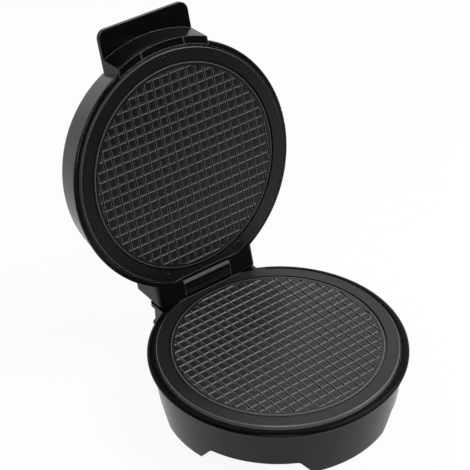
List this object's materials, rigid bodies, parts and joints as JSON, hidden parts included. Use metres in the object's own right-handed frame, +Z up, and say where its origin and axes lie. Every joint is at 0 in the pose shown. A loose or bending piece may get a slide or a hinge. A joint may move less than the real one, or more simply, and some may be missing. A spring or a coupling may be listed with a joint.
{
  "type": "ice cream cone maker",
  "caption": "Round electric cone iron with a hinged lid standing open, two round plates with a crossed groove grid, a flat thumb handle on the lid and a skirted base.",
  "frame": {"origin": "on the worktop, straight under the middle of the round plates", "axes": "+Z up, -Y towards the user and the handle side of the closed lid, +Y towards the hinge, +X to the right along the hinge pins; the lid stands open at rest"},
  "size_m": [0.2216, 0.2972, 0.2935],
  "materials": {
    "black_plastic": "black phenolic plastic with a fine satin grain and a soft sheen",
    "coated_plate": "aluminium casting with a dark grey non-stick coating, satin, with a fine speckle",
    "rubber": "black rubber, matt",
    "screw_steel": "zinc-plated steel",
    "pin_steel": "ground steel",
    "element_sheath": "steel sheath dulled by heat",
    "shield_steel": "bright pressed steel sheet",
    "control_can": "aluminium can with tinned tabs",
    "terminal_plastic": "off-white moulded plastic",
    "red_lens": "red tinted lamp window",
    "green_lens": "green tinted lamp window",
    "board": "brown laminate board with two small lamps"
  },
  "bodies": {
    "base": {"base_housing": "black_plastic", "base_underside_cover": "black_plastic", "rubber_feet": "rubber", "underside_screws": "screw_steel", "lower_baking_plate": "coated_plate", "lower_heating_element": "element_sheath", "lower_heat_shield": "shield_steel", "lower_shield_screws": "screw_steel", "lower_plate_screws": "screw_steel", "thermostat": "control_can", "thermal_fuse": "control_can", "terminal_block": "terminal_plastic", "hinge_pins": "pin_steel", "cord_gland": "rubber", "rear_standing_feet": "rubber"},
    "lid": {"lid_housing": "black_plastic", "lid_handle": "black_plastic", "handle_screws": "screw_steel", "upper_baking_plate": "coated_plate", "upper_heating_element": "element_sheath", "upper_heat_shield": "shield_steel", "upper_shield_screws": "screw_steel", "upper_plate_screws": "screw_steel", "power_lamp_lens": "red_lens", "ready_lamp_lens": "green_lens", "lamp_board": "board", "board_screws": "screw_steel"}
  },
  "joints": [
    {"name": "lid_hinge", "type": "hinge", "parent": "base", "child": "lid", "pos_m": [0, 0.106, 0.0666], "axis": [1, 0, 0], "range_deg": [0, 103.6]}
  ]
}
